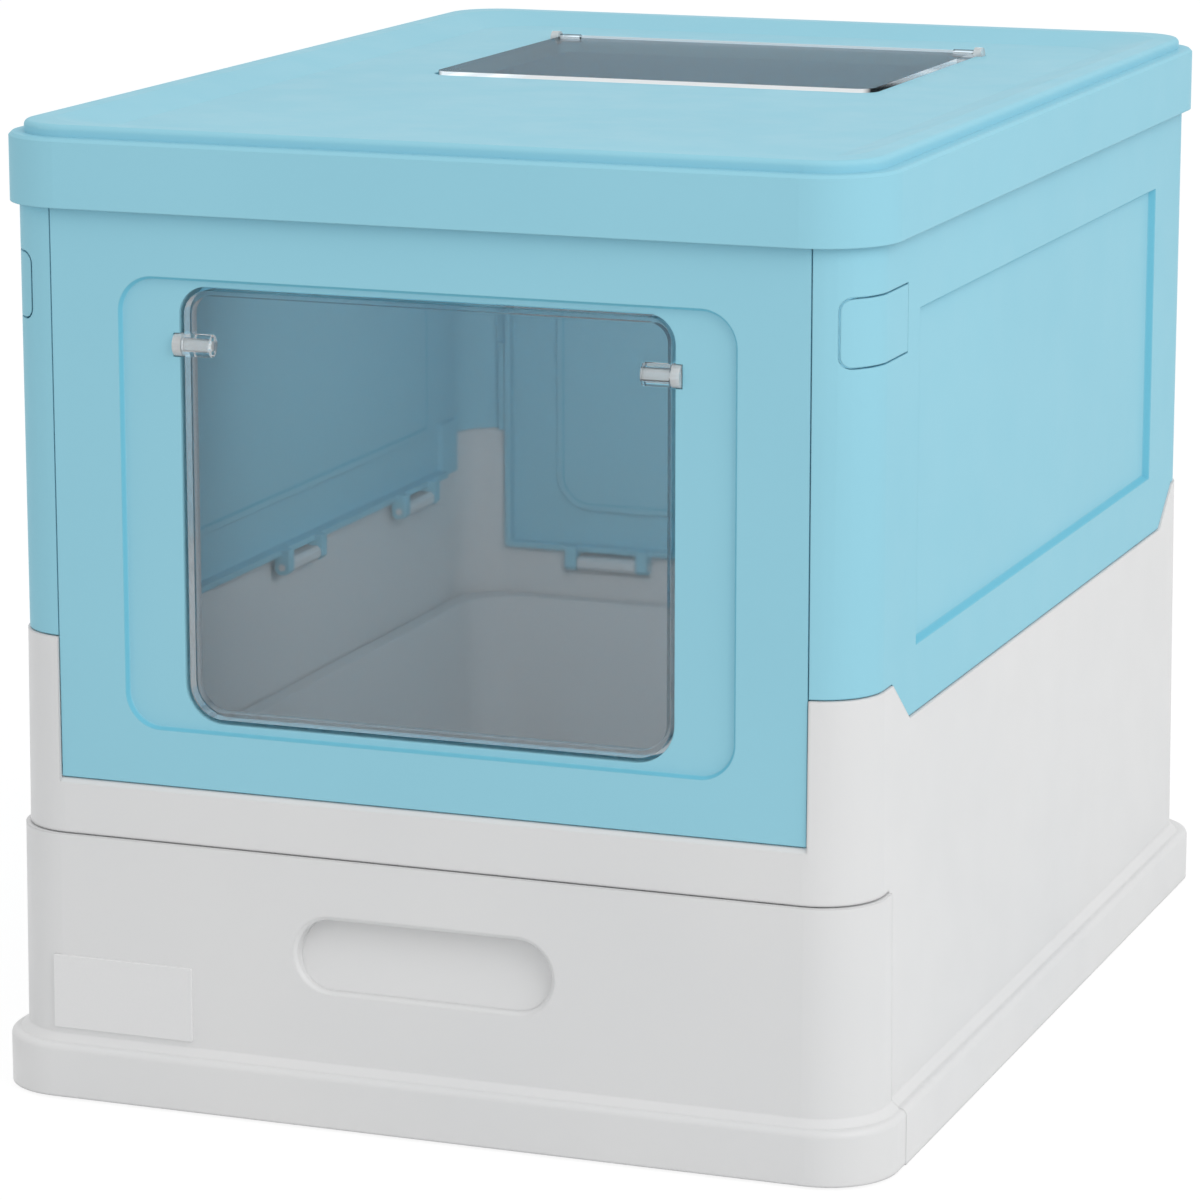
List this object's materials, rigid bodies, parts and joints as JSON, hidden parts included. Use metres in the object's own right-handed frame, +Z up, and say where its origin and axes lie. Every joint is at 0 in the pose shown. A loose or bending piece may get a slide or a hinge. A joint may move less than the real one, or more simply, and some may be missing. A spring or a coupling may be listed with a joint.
{
  "type": "foldable litter box",
  "caption": "Covered litter box with a pull-out drawer, folding end walls, a lift-off lid and swinging smoked flaps in the doorway and in the lid.",
  "frame": {"origin": "on the ground under the middle of the plinth", "axes": "+X to the right seen from the doorway side, +Y to the back, +Z up; the doorway faces -Y"},
  "size_m": [0.3568, 0.4822, 0.3722],
  "materials": {
    "white_plastic": "satin white plastic",
    "blue_plastic": "satin pale blue plastic",
    "smoked_clear": "smoked clear plastic sheet",
    "clear_pin": "milky clear plastic",
    "hinge_pin": "moulded nylon"
  },
  "bodies": {
    "base": {"base_shell": "white_plastic", "left_wall": "blue_plastic", "right_wall": "blue_plastic", "left_hinge_pins": "hinge_pin", "right_hinge_pins": "hinge_pin"},
    "drawer": {"drawer_front": "white_plastic", "drawer_pan": "white_plastic"},
    "front_wall": {"front_wall": "blue_plastic", "front_hinge_pins": "hinge_pin"},
    "rear_wall": {"rear_wall": "blue_plastic", "rear_hinge_pins": "hinge_pin"},
    "front_flap": {"front_flap": "smoked_clear", "front_flap_pin_left": "clear_pin", "front_flap_pin_right": "clear_pin"},
    "lid": {"lid": "blue_plastic"},
    "top_flap": {"top_flap": "smoked_clear", "top_flap_pin_left": "clear_pin", "top_flap_pin_right": "clear_pin"},
    "latch_left": {"latch_left": "blue_plastic"},
    "latch_right": {"latch_right": "blue_plastic"}
  },
  "joints": [
    {"name": "drawer_slide", "type": "slide", "parent": "base", "child": "drawer", "axis": [0, -1, 0], "range_m": [0, 0.39]},
    {"name": "front_wall_fold", "type": "hinge", "parent": "base", "child": "front_wall", "pos_m": [0, -0.22383, 0.12], "axis": [-1, 0, 0], "range_deg": [0, 87]},
    {"name": "rear_wall_fold", "type": "hinge", "parent": "base", "child": "rear_wall", "pos_m": [0, 0.22383, 0.12], "axis": [1, 0, 0], "range_deg": [0, 90]},
    {"name": "front_flap_swing", "type": "hinge", "parent": "front_wall", "child": "front_flap", "pos_m": [0, -0.22793, 0.2928], "axis": [-1, 0, 0], "range_deg": [-70, 70]},
    {"name": "lid_lift", "type": "slide", "parent": "base", "child": "lid", "axis": [0, 0, 1], "range_m": [0, 0.2]},
    {"name": "top_flap_swing", "type": "hinge", "parent": "lid", "child": "top_flap", "pos_m": [0, 0.15403, 0.3677], "axis": [-1, 0, 0], "range_deg": [0, 100]},
    {"name": "latch_left_press", "type": "hinge", "parent": "base", "child": "latch_left", "pos_m": [-0.16673, -0.18503, 0.31135], "axis": [0, 0, 1], "range_deg": [0, 2], "stiffness_Nm_per_rad": 25},
    {"name": "latch_right_press", "type": "hinge", "parent": "base", "child": "latch_right", "pos_m": [0.16673, -0.18503, 0.31135], "axis": [0, 0, -1], "range_deg": [0, 2], "stiffness_Nm_per_rad": 25}
  ]
}
